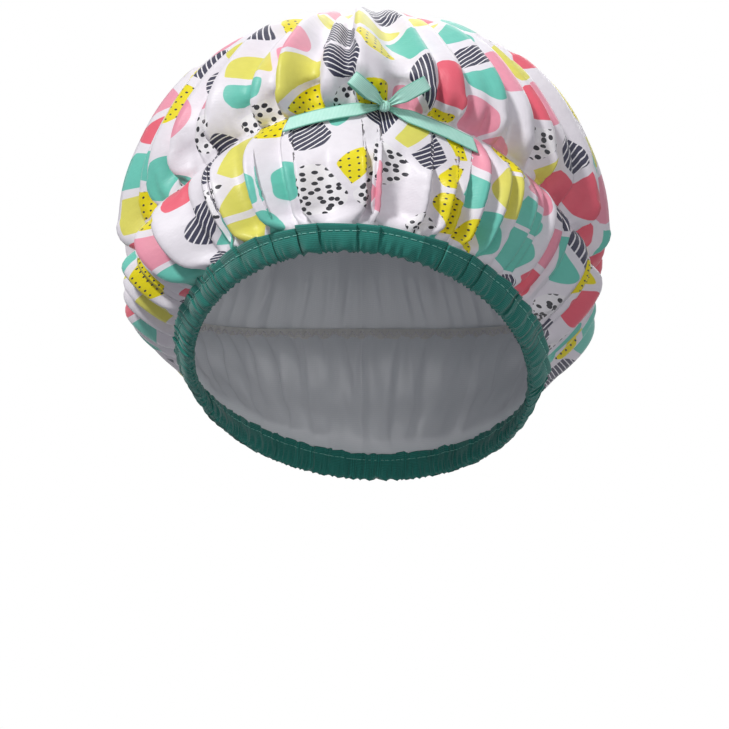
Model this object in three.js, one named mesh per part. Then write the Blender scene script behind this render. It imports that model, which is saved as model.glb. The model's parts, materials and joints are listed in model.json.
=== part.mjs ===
// A bouffant shower cap in the shape it has on a head: printed outer cap, waterproof lining, bound elastic
// hem, a second gathered ring above the hem, and a small ribbon bow tacked on that ring at the front.
// Millimetres, +Z up, the front of the cap towards -Y. The origin is the middle of the head opening.
import * as THREE from "three";

// Head opening, measured at the band's inner face.
const hemHalfWidth = 70;
const hemHalfDepth = 95;
const hemFrontHeight = 45;
const hemSideHeight = -6;
const hemBackHeight = -52;
const hemAskew = 5;

// Bound hem: a folded strip of cloth that holds the elastic and the two cloth edges.
const bandHeight = 12;
const bandLeanFront = 0.2;
const bandLeanSide = 0.55;
const bandCloth = 0.6;
const bandPleatDepth = 0.8;
const pocketDepth = 2.3;
const elasticHeight = 6;
const elasticThickness = 1;
const stitchBelowEdge = 3.2;
const threadDiameter = 0.5;

// Gathered ring above the hem.
const gatherHalfWidth = 94;
const gatherFrontY = -74;
const gatherBackY = 108;
const gatherFrontHeight = 104;
const gatherSideHeight = 35;
const gatherBackHeight = 14;
const gatherElasticHeight = 4;
const gatherElasticThickness = 0.8;

// Crown above the gathered ring: its widest line and its top.
const crownHalfWidth = 104;
const crownFrontY = -84;
const crownBackY = 124;
const crownFrontHeight = 122;
const crownSideHeight = 80;
const crownBackHeight = 62;
const crownTopHeight = 150;

// Cloth and its folds.
const clothThickness = 0.5;
const puffBulge = 12;
const crownLobes = 14;
const lobeDepth = 8;
const pleatDepth = 5;

// Ribbon bow, placed by its turn from the front centre and tacked on the gathered ring.
const bowTurn = 0.094;
const ribbonWidth = 6;
const ribbonThickness = 0.5;
const ribbonPinch = 2.4;
const ribbonOpensOver = 8;
const knotDiameter = 4.6;
const knotHeight = 4.4;
const tackLength = 2.6;
const tackDiameter = 1.2;
const loopHeight = 7;
const leftLoop = { turns: -0.15, climb: 0.16 };
const rightLoop = { turns: 0.18, climb: 0.16 };
const leftTail = { turns: -0.4, drop: 0.1 };
const rightTail = { turns: 0.38, drop: 0.14 };
const tailSlant = 4;
const tailTilt = 0.5;
const tailFall = 0.5;

// Clear distance between neighbouring pieces.
const clearance = 0.4;

// Mesh counts, and where along their stretch the rows and curve points lie.
const columnsPerLobe = 4;
const columns = crownLobes * columnsPerLobe;
const pleats = crownLobes * 2;
const bandColumns = columns * 2;
const threadSides = 4;
const puffRows = [0.25, 0.55, 0.85];
const crownRows = [0.15, 0.32, 0.5, 0.67, 0.84];
const ribbonSteps = 9;
const loopSteps = 16;
const loopOpening = 0.6;
const tailShares = [0.35, 0.68, 1];

const colours = {
  print: 0xf2eef4,
  lining: 0xf4f6f6,
  teal: 0x2f8078,
  tealThread: 0x7fc4b8,
  whiteThread: 0xf5f3f5,
  rubber: 0xe9e6df,
  ribbon: 0xa4dfc9,
};

const up = new THREE.Vector3(0, 0, 1);

// Height round a ring that is set at the front, at both sides and at the back. Askew lowers its +X side.
function ringHeight(front, side, back, askew = 0) {
  const mean = (front + back) / 2;
  return (turn) =>
    (mean + side) / 2 + ((front - back) / 2) * Math.cos(turn) + ((mean - side) / 2) * Math.cos(2 * turn)
    - askew * Math.sin(turn);
}

// A tilted oval ring: a point for each turn from the front centre, positive towards +X.
function ovalRing(halfWidth, frontY, backY, height) {
  const halfDepth = (backY - frontY) / 2;
  const middle = (backY + frontY) / 2;
  return (turn) =>
    new THREE.Vector3(halfWidth * Math.sin(turn), middle - halfDepth * Math.cos(turn), height(turn));
}

const hemRing = ovalRing(
  hemHalfWidth, -hemHalfDepth, hemHalfDepth,
  ringHeight(hemFrontHeight, hemSideHeight, hemBackHeight, hemAskew),
);
const gatherRing = ovalRing(
  gatherHalfWidth, gatherFrontY, gatherBackY,
  ringHeight(gatherFrontHeight, gatherSideHeight, gatherBackHeight),
);
const crownRing = ovalRing(
  crownHalfWidth, crownFrontY, crownBackY,
  ringHeight(crownFrontHeight, crownSideHeight, crownBackHeight),
);
const crownTop = new THREE.Vector3(0, (crownFrontY + crownBackY) / 2, crownTopHeight);

// Unit vectors at one place of a ring: along it, level and outward, and upward across it.
function ringAxes(ring, turn) {
  const small = 1e-3;
  const along = ring(turn + small).sub(ring(turn - small)).normalize();
  const outward = new THREE.Vector3().crossVectors(along, up).normalize();
  const across = new THREE.Vector3().crossVectors(outward, along).normalize();
  return { along, outward, across };
}

// A place in the hem's section: outward from the band's inner face and up from its lower edge.
function hemPoint(turn, outwardBy, upBy) {
  const { outward, across } = ringAxes(hemRing, turn);
  const lean = bandLeanFront + (bandLeanSide - bandLeanFront) * Math.sin(turn) ** 2;
  const leanUp = across.clone().multiplyScalar(Math.cos(lean)).addScaledVector(outward, Math.sin(lean));
  const leanOut = outward.clone().multiplyScalar(Math.cos(lean)).addScaledVector(across, -Math.sin(lean));
  const point = hemRing(turn).addScaledVector(leanOut, outwardBy).addScaledVector(leanUp, upBy);
  return { point, outward: leanOut };
}

// Places of the cloth edges and the elastic inside the band's pocket.
const pocketStart = bandCloth;
const bandThickness = pocketDepth + 2 * bandCloth;
const capEdgeOut = pocketStart + pocketDepth - clearance;
const elasticBottom = bandCloth + clearance;
const clothEdgeUp = elasticBottom + elasticHeight + clearance;

// The puff between the band and the gathered ring: climb 0 at the band's top edge, 1 at the gather.
function puffPoint(turn, climb) {
  const low = hemPoint(turn, capEdgeOut, bandHeight);
  const high = gatherRing(turn);
  const outward = low.outward.clone().lerp(ringAxes(gatherRing, turn).outward, climb).normalize();
  const bulge = puffBulge * Math.sin(Math.PI * climb);
  const point = low.point.clone().lerp(high, climb).addScaledVector(outward, bulge);
  return { point, outward };
}

// Unit vector square to the puff's surface.
function puffNormal(turn, climb) {
  const small = 1e-3;
  const along = puffPoint(turn + small, climb).point.sub(puffPoint(turn - small, climb).point);
  const rising = puffPoint(turn, climb + small).point.sub(puffPoint(turn, climb - small).point);
  return along.cross(rising).normalize();
}

// The crown: climb 0 at the gather, 1 at the top. It is an ellipse in each half-plane through the top.
function crownPoint(turn, climb) {
  const low = gatherRing(turn);
  const wide = crownRing(turn);
  const reach = Math.hypot(wide.x - crownTop.x, wide.y - crownTop.y);
  const lowReach = Math.hypot(low.x - crownTop.x, low.y - crownTop.y);
  const start = -Math.acos(Math.min(lowReach / reach, 1));
  const angle = start + (Math.PI / 2 - start) * climb;
  const below = start < 0 ? (wide.z - low.z) / Math.sin(-start) : 0;
  const rise = angle < 0 ? below : crownTop.z - wide.z;
  const level = wide.clone().sub(crownTop).setZ(0).normalize();
  const point = low.clone().lerp(wide, Math.min(climb * 3, 1)).sub(crownTop).setZ(0).normalize()
    .multiplyScalar(reach * Math.cos(angle)).add(crownTop);
  point.z = wide.z + rise * Math.sin(angle);
  const outward = level.multiplyScalar(Math.cos(angle)).addScaledVector(up, Math.sin(angle));
  return { point, outward };
}

// Folds: 1 at the bottom of a valley and 0 on a crest, fading to nothing at both ends of the stretch.
const lobeShape = (turn, climb) =>
  ((1 + Math.cos(crownLobes * turn)) / 2) ** 2 * Math.sin(Math.PI * Math.sqrt(climb));
const pleatShape = (turn, climb) => ((1 + Math.cos(pleats * turn)) / 2) * Math.sin(Math.PI * climb);

// One ring of the cap's cloth surface, set in from the crests of the outer face by the given depth.
function clothRings(setIn, foldShare) {
  const rings = [];
  const ringOf = (place) => {
    const ring = [];
    for (let i = 0; i < columns; i += 1) {
      const turn = (2 * Math.PI * i) / columns;
      const { point, outward, fold } = place(turn);
      ring.push(point.addScaledVector(outward, -(setIn + fold)));
    }
    rings.push(ring);
  };
  for (const height of [clothEdgeUp, bandHeight]) {
    ringOf((turn) => ({ ...hemPoint(turn, capEdgeOut, height), fold: 0 }));
  }
  for (const climb of puffRows) {
    ringOf((turn) => ({
      ...puffPoint(turn, climb),
      fold: pleatDepth * foldShare(pleatShape(turn, climb), Math.sin(Math.PI * climb)),
    }));
  }
  ringOf((turn) => ({ point: gatherRing(turn), outward: ringAxes(gatherRing, turn).outward, fold: 0 }));
  for (const climb of crownRows) {
    ringOf((turn) => ({
      ...crownPoint(turn, climb),
      fold: lobeDepth * foldShare(lobeShape(turn, climb), Math.sin(Math.PI * Math.sqrt(climb))),
    }));
  }
  return rings;
}

// Triangles between two rings of equal count, facing away from the side where the rings turn rightward.
function stitchRings(triangles, from, to, count, flip) {
  for (let i = 0; i < count; i += 1) {
    const j = (i + 1) % count;
    const quad = [[from + i, from + j, to + j], [from + i, to + j, to + i]];
    for (const [a, b, c] of quad) {
      triangles.push(...(flip ? [a, c, b] : [a, b, c]));
    }
  }
}

function bufferOf(points, triangles) {
  const geometry = new THREE.BufferGeometry();
  geometry.setAttribute("position", new THREE.Float32BufferAttribute(points.flatMap((p) => p.toArray()), 3));
  geometry.setIndex(triangles);
  geometry.computeVertexNormals();
  return geometry;
}

// A thin dome, open at the hem: outer and inner surfaces, closed along the hem edge and at the top.
function domeGeometry(outerRings, innerRings, outerTop, innerTop) {
  const points = [...outerRings.flat(), outerTop, ...innerRings.flat(), innerTop];
  const triangles = [];
  const surface = outerRings.length * columns + 1;
  const last = (outerRings.length - 1) * columns;
  for (const [base, flip] of [[0, false], [surface, true]]) {
    for (let row = 0; row < outerRings.length - 1; row += 1) {
      stitchRings(triangles, base + row * columns, base + (row + 1) * columns, columns, flip);
    }
    for (let i = 0; i < columns; i += 1) {
      const j = (i + 1) % columns;
      const fan = [base + last + i, base + last + j, base + surface - 1];
      triangles.push(...(flip ? [fan[0], fan[2], fan[1]] : fan));
    }
  }
  stitchRings(triangles, surface, 0, columns, false);
  return bufferOf(points, triangles);
}

// A closed ring whose section is a loop of points, anticlockwise with outward to the right and up above.
function ringGeometry(count, sectionAt) {
  const sections = [];
  for (let i = 0; i < count; i += 1) {
    sections.push(sectionAt((2 * Math.PI * i) / count, i));
  }
  const sides = sections[0].length;
  const points = sections.flat();
  const triangles = [];
  for (let i = 0; i < count; i += 1) {
    const next = (i + 1) % count;
    for (let k = 0; k < sides; k += 1) {
      const m = (k + 1) % sides;
      const [a, b, c, d] = [i * sides + k, next * sides + k, next * sides + m, i * sides + m];
      triangles.push(a, b, c, a, c, d);
    }
  }
  return bufferOf(points, triangles);
}

// Corners of a thread's section round its middle.
function threadSection(place) {
  const corners = [];
  for (let k = 0; k < threadSides; k += 1) {
    const angle = (2 * Math.PI * (k + 0.5)) / threadSides;
    corners.push(place((threadDiameter / 2) * Math.cos(angle), (threadDiameter / 2) * Math.sin(angle)));
  }
  return corners;
}

function makeMesh(name, geometry, colour, roughness) {
  const material = new THREE.MeshStandardMaterial({ color: colour, roughness, metalness: 0 });
  const mesh = new THREE.Mesh(geometry, material);
  mesh.name = name;
  return mesh;
}

// Printed outer cap, with lobes over the crown and pleats above the band.
function outerCap() {
  const folded = (share) => share;
  const top = crownTop.clone();
  return domeGeometry(
    clothRings(0, folded),
    clothRings(clothThickness, folded),
    top,
    top.clone().addScaledVector(up, -clothThickness),
  );
}

// Lining, smooth and just inside the bottoms of the outer cap's folds.
function lining() {
  const deepest = (share, most) => most;
  const gap = clothThickness + clearance;
  return domeGeometry(
    clothRings(gap, deepest),
    clothRings(gap + clothThickness, deepest),
    crownTop.clone().addScaledVector(up, -gap),
    crownTop.clone().addScaledVector(up, -gap - clothThickness),
  );
}

// Height of the band's small pleats, which stand out of both faces of the hem.
const bandPleat = (i) => (i % 2) * bandPleatDepth;

function hemBinding() {
  const pocketEnd = bandThickness - bandCloth;
  return ringGeometry(bandColumns, (turn, i) => {
    const out = bandPleat(i);
    const inside = -out / 2;
    const section = [
      [inside, 0],
      [bandThickness + out, 0],
      [bandThickness + out, bandHeight],
      [pocketEnd + out, bandHeight],
      [pocketEnd + out, bandCloth],
      [pocketStart + inside, bandCloth],
      [pocketStart + inside, bandHeight],
      [inside, bandHeight],
    ];
    return section.map(([outwardBy, upBy]) => hemPoint(turn, outwardBy, upBy).point);
  });
}

function hemElastic() {
  const inner = pocketStart + (pocketDepth - elasticThickness) / 2;
  const section = [
    [inner, elasticBottom],
    [inner + elasticThickness, elasticBottom],
    [inner + elasticThickness, elasticBottom + elasticHeight],
    [inner, elasticBottom + elasticHeight],
  ];
  return ringGeometry(columns, (turn) => section.map(([out, high]) => hemPoint(turn, out, high).point));
}

// Lockstitch row through the band: side 1 is the top thread outside, side -1 the bobbin thread inside.
function hemThread(side) {
  const height = bandHeight - stitchBelowEdge;
  const away = clearance + threadDiameter / 2;
  return ringGeometry(bandColumns, (turn, i) => {
    const face = side > 0 ? bandThickness + bandPleat(i) : -bandPleat(i) / 2;
    return threadSection((out, high) => hemPoint(turn, face + side * away + out, height + high).point);
  });
}

// A place beside the gathered ring: outward from the outer cap there and up along the cap.
function gatherPoint(turn, outwardBy, upBy) {
  const { outward, across } = ringAxes(gatherRing, turn);
  return gatherRing(turn).addScaledVector(outward, outwardBy).addScaledVector(across, upBy);
}

const liningInside = -(2 * clothThickness + clearance);

// Elastic sewn to the lining's inside along the gather.
function gatherElastic() {
  const outer = liningInside - clearance;
  const inner = outer - gatherElasticThickness;
  const half = gatherElasticHeight / 2;
  const section = [[inner, -half], [outer, -half], [outer, half], [inner, half]];
  return ringGeometry(columns, (turn) => section.map(([out, high]) => gatherPoint(turn, out, high)));
}

// Stitch row along the gather: the top thread lies in the valley outside, the bobbin thread on the elastic.
function gatherThread(side) {
  const inside = liningInside - clearance - gatherElasticThickness;
  const face = side > 0 ? clearance : inside;
  const middle = face + side * (clearance + threadDiameter / 2);
  return ringGeometry(columns, (turn) =>
    threadSection((out, high) => gatherPoint(turn, middle + out, high)),
  );
}

// Bow: the knot stands off the gather on its tack, clear of the puffs above and below it.
const bowAxes = ringAxes(gatherRing, bowTurn);
const tackStart = 2 * clearance + threadDiameter + clearance;
const knotOut = tackStart + tackLength + clearance + knotDiameter / 2;
const knotCentre = gatherPoint(bowTurn, knotOut, 0);

function bowKnot() {
  const half = knotHeight / 2;
  const waist = knotDiameter / 2;
  const neck = waist * 0.72;
  const profile = [[0, -half], [neck, -half], [waist, -half / 3], [waist, half / 3], [neck, half], [0, half]];
  const geometry = new THREE.LatheGeometry(profile.map(([x, y]) => new THREE.Vector2(x, y)), 12);
  const mesh = makeMesh("bow_knot", geometry, colours.ribbon, 0.6);
  mesh.quaternion.setFromUnitVectors(new THREE.Vector3(0, 1, 0), bowAxes.across);
  mesh.position.copy(knotCentre);
  return mesh;
}

function bowTack() {
  const geometry = new THREE.CylinderGeometry(tackDiameter / 2, tackDiameter / 2, tackLength, 8);
  const mesh = makeMesh("bow_tack_thread", geometry, colours.tealThread, 0.8);
  mesh.quaternion.setFromUnitVectors(new THREE.Vector3(0, 1, 0), bowAxes.outward);
  mesh.position.copy(gatherPoint(bowTurn, tackStart + tackLength / 2, 0));
  return mesh;
}

// Half the ribbon's width at a distance from the knot, where it is pinched.
function ribbonHalfWidth(distance) {
  const share = THREE.MathUtils.smoothstep(distance, 0, ribbonOpensOver);
  return THREE.MathUtils.lerp(ribbonPinch, ribbonWidth, share) / 2;
}

// A flat ribbon through rows of points: wide is the unit vector across it and face the one out of it.
function ribbonGeometry(rows) {
  const points = [];
  const triangles = [];
  for (const { middle, wide, face, half, slant } of rows) {
    for (const [side, layer] of [[-1, -1], [-1, 1], [1, 1], [1, -1]]) {
      points.push(
        middle.clone().addScaledVector(wide, side * half).addScaledVector(face, (layer * ribbonThickness) / 2)
          .addScaledVector(slant, side),
      );
    }
  }
  const last = (rows.length - 1) * 4;
  for (let row = 0; row < last; row += 4) {
    for (let k = 0; k < 4; k += 1) {
      const m = (k + 1) % 4;
      triangles.push(row + k, row + m, row + 4 + m, row + k, row + 4 + m, row + 4 + k);
    }
  }
  triangles.push(0, 2, 1, 0, 3, 2, last, last + 1, last + 2, last, last + 2, last + 3);
  return bufferOf(points, triangles);
}

const knotEdge = knotDiameter / 2 + clearance;
const knotLayer = knotDiameter / 4;
const loopStandOff = loopHeight / 2 + 2 * clearance;
const tailStandOff = ribbonWidth / 3 + 2 * clearance;
const noSlant = new THREE.Vector3();

// A loop leaves the knot towards its tip and comes back under itself, a drop shape seen from its open side.
function bowLoop(name, { turns, climb }) {
  const { point: tip, outward: tipOutward } = crownPoint(bowTurn + turns, climb);
  const reach = tip.addScaledVector(tipOutward, loopStandOff).sub(knotCentre);
  const along = reach.clone().normalize();
  const wide = new THREE.Vector3().crossVectors(along, bowAxes.outward).normalize();
  const face = new THREE.Vector3().crossVectors(wide, along).normalize();
  const root = knotCentre.clone().addScaledVector(along, knotEdge).addScaledVector(face, knotLayer);
  const length = reach.length() - knotEdge;
  const rows = [];
  for (let i = 0; i <= loopSteps; i += 1) {
    const phase = loopOpening + ((2 * Math.PI - 2 * loopOpening) * i) / loopSteps;
    const dropX = (a) => (length * (1 - Math.cos(a))) / 2;
    const dropY = (a) => (loopHeight / 2) * Math.sin(a) * Math.sin(a / 2);
    const step = 1e-3;
    const tangent = along.clone().multiplyScalar(dropX(phase + step) - dropX(phase - step))
      .addScaledVector(face, dropY(phase + step) - dropY(phase - step)).normalize();
    const ahead = dropX(phase) - dropX(loopOpening);
    rows.push({
      middle: root.clone().addScaledVector(along, ahead).addScaledVector(face, dropY(phase)),
      wide,
      face: new THREE.Vector3().crossVectors(wide, tangent).normalize(),
      half: ribbonHalfWidth(dropX(phase)),
      slant: noSlant,
    });
  }
  const mesh = makeMesh(name, ribbonGeometry(rows), colours.ribbon, 0.6);
  mesh.userData.hinge = { at: root, axis: wide };
  return mesh;
}

// A tail leaves the knot beside the gather, lies over the puff below it and ends in a slanting cut. It lifts
// outward and falls a little as it does, clear of the loop above it.
function bowTail(name, { turns, drop }) {
  const turnAt = (share) => bowTurn + turns * share;
  const climbAt = (share) => 1 - (drop * (1 + share)) / 2;
  const faceAt = (share) => {
    const { outward } = puffPoint(turnAt(share), climbAt(share));
    return outward.lerp(puffNormal(turnAt(share), climbAt(share)), tailTilt).normalize();
  };
  const onPuff = (share) =>
    puffPoint(turnAt(share), climbAt(share)).point.addScaledVector(faceAt(share), tailStandOff);
  const laid = tailShares.map(onPuff);
  const leaving = laid[0].clone().sub(knotCentre).normalize();
  const root = knotCentre.clone().addScaledVector(leaving, knotEdge + clearance)
    .addScaledVector(bowAxes.outward, -knotLayer);
  const path = new THREE.CatmullRomCurve3([root, ...laid]);
  const length = path.getLength();
  const rows = [];
  for (let i = 0; i <= ribbonSteps; i += 1) {
    const share = i / ribbonSteps;
    const middle = path.getPointAt(share);
    const tangent = path.getTangentAt(share);
    const wide = new THREE.Vector3().crossVectors(tangent, faceAt(share)).normalize();
    const face = new THREE.Vector3().crossVectors(wide, tangent).normalize();
    const slant = tangent.multiplyScalar((tailSlant / 2) * share ** ribbonSteps * Math.sign(turns));
    rows.push({ middle, wide, face, half: ribbonHalfWidth(share * length), slant });
  }
  const mesh = makeMesh(name, ribbonGeometry(rows), colours.ribbon, 0.6);
  const lifting = rows[0].face.clone().multiplyScalar(Math.cos(tailFall))
    .addScaledVector(rows[0].wide, Math.sin(tailFall) * Math.sign(turns));
  mesh.userData.hinge = { at: root, axis: leaving.cross(lifting).normalize() };
  return mesh;
}

const showerCap = new THREE.Group();
showerCap.add(
  makeMesh("outer_cap", outerCap(), colours.print, 0.55),
  makeMesh("lining", lining(), colours.lining, 0.35),
  makeMesh("hem_binding", hemBinding(), colours.teal, 0.75),
  makeMesh("hem_elastic", hemElastic(), colours.rubber, 0.85),
  makeMesh("hem_top_thread", hemThread(1), colours.tealThread, 0.8),
  makeMesh("hem_bobbin_thread", hemThread(-1), colours.tealThread, 0.8),
  makeMesh("gather_elastic", gatherElastic(), colours.rubber, 0.85),
  makeMesh("gather_top_thread", gatherThread(1), colours.whiteThread, 0.8),
  makeMesh("gather_bobbin_thread", gatherThread(-1), colours.whiteThread, 0.8),
  bowKnot(),
  bowTack(),
  bowLoop("bow_loop_left", leftLoop),
  bowLoop("bow_loop_right", rightLoop),
  bowTail("bow_tail_left", leftTail),
  bowTail("bow_tail_right", rightTail),
);

export default showerCap;
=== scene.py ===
import json
import math
import time
from math import pi, tau

import bpy
import numpy as np
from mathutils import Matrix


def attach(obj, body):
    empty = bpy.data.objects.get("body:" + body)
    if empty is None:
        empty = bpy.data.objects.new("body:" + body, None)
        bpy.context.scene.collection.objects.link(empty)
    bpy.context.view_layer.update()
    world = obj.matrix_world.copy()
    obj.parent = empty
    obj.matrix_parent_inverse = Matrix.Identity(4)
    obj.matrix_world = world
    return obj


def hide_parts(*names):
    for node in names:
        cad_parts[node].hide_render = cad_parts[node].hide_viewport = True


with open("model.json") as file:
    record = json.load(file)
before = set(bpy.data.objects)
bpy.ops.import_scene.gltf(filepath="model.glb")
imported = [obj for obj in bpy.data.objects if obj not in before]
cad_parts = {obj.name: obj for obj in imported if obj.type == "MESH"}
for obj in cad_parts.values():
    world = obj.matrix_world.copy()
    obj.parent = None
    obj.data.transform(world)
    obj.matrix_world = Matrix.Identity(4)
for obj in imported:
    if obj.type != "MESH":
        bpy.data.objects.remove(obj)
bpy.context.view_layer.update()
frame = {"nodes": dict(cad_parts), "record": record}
scene = bpy.context.scene
mm = 0.001
started = time.time()


def stage(words):
    print(f"{time.time() - started:6.1f} s  {words}")


def size(v):
    return np.linalg.norm(v, axis=-1)


def unit(v):
    return v / np.maximum(size(v)[..., None], 1e-12)


def dot(a, b):
    return (a * b).sum(-1, keepdims=True)


def smooth(x, low, high):
    s = np.clip((x - low) / (high - low), 0, 1)
    return s * s * (3 - 2 * s)


def swell(x, start, full, fade, end):
    # grows from start to full, stays, and fades out up to the end
    return smooth(x, start, full) * (1 - smooth(x, fade, end))


def lengthAlong(line):
    return np.r_[0, np.cumsum(size(np.diff(line, axis=0)))]


def roundTurns(count):
    return np.arange(count) / count * tau - pi


def meshPoints(mesh):
    points = np.empty(len(mesh.vertices) * 3)
    mesh.vertices.foreach_get("co", points)
    return points.reshape(-1, 3)


def newPiece(name, points, faces, uv, material, mapName="strip"):
    # uv is the flat map in metres, one place for each corner of each face
    mesh = bpy.data.meshes.new(name)
    mesh.from_pydata(np.asarray(points).tolist(), [], [[int(i) for i in f] for f in faces])
    mesh.shade_smooth()
    mesh.materials.append(material)
    layer = mesh.uv_layers.new(name=mapName)
    layer.uv.foreach_set("vector", np.asarray(uv, np.float32).ravel())
    piece = bpy.data.objects.new(name, mesh)
    scene.collection.objects.link(piece)
    return piece


def wrapFaces(rows, sides, uvAt, closedRows=False, openSides=False, turned=False):
    # faces and flat map of rows of points that close round their sides; uvAt gives the map at a row and side
    faces, uv = [], []
    for i in range(rows if closedRows else rows - 1):
        for k in range(sides - 1 if openSides else sides):
            corners = [(i, k), (i, k + 1), (i + 1, k + 1), (i + 1, k)]
            if turned:
                corners = [corners[c] for c in (0, 3, 2, 1)]
            faces.append([row % rows * sides + side % sides for row, side in corners])
            uv += [uvAt(row, side) for row, side in corners]
    return faces, uv


def dress(piece, node, body="cap"):
    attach(piece, body)
    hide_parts(node)
    return piece


def colour(hexText):
    values = [int(hexText[i:i + 2], 16) / 255 for i in (1, 3, 5)]
    return tuple(v / 12.92 if v <= 0.04045 else ((v + 0.055) / 1.055) ** 2.4 for v in values) + (1.0,)


def addNode(tree, kind, inputs=None, **settings):
    # an input that is a socket is linked, a node by its first output, and any other value is set
    node = tree.nodes.new(kind)
    for name, value in settings.items():
        setattr(node, name, value)
    for key, value in (inputs or {}).items():
        if isinstance(value, bpy.types.Node):
            value = value.outputs[0]
        if isinstance(value, bpy.types.NodeSocket):
            tree.links.new(value, node.inputs[key])
        else:
            node.inputs[key].default_value = value
    return node


def newMaterial(name):
    material = bpy.data.materials.new(name)
    material.use_nodes = True
    material.node_tree.nodes.clear()
    return material, material.node_tree


def finishMaterial(material, look):
    tree = material.node_tree
    shader = addNode(tree, "ShaderNodeBsdfPrincipled", look)
    addNode(tree, "ShaderNodeOutputMaterial", {"Surface": shader})
    return material


def flatMap(tree, name):
    # the piece's flat map, from metres to millimetres
    found = addNode(tree, "ShaderNodeUVMap", uv_map=name)
    return addNode(tree, "ShaderNodeVectorMath", {0: found, "Scale": 1000}, operation="SCALE")


waveUnit = 0.31416  # a wave texture of scale 1 repeats after this length

# woven polyester satin, printed: smooth float threads give it a soft sheen, and it crumples finely
printedSatin = {
    "surface": {"IOR": 1.5, "Sheen Weight": 0.12, "Sheen Roughness": 0.4, "Specular IOR Level": 0.4},
    "roughness": (0.4, 0.5),  # between the threads and on them
    "ground": "#F4EFF5", "white": "#FBF8FA", "ink": "#24242C",
    "chips": (  # mint, coral, pink, straw, yellow, navy, white, and where the share of each one starts
        ("#6FCDBB", 0), ("#F0687A", 0.19), ("#F5A0B4", 0.31), ("#E9E36A", 0.42), ("#F2E20F", 0.52),
        ("#33334A", 0.68), ("#FBF8FA", 0.86)),
    "chip": 22, "dot": 3.0, "stripe": 2.0, "spot": 3.4, "crumple": 9,  # mm
    "dye": 20 / 7,  # mm, seven patches of dye in 20 mm
    "thread": 0.8,  # mm, real ones are 0.1, drawn coarser to show
    "gap": (0.035, 0.11), "disc": (0.6, 0.44), "corner": 0.08,  # of a chip's spacing
    "scatter": {"chip": 0.9, "dot": 0.12, "spot": 0.9},  # 0 lies in rows, 1 anywhere
    "marks": {  # how big in their spacing, the middle and half width of their share of the chips, colour
        "dot": (0.16, 0.6, 0.08, "ink"), "stripe": (0.24, 0.77, 0.09, "white"),
        "spot": (0.3, 0.93, 0.07, "ink")},
}


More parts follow.
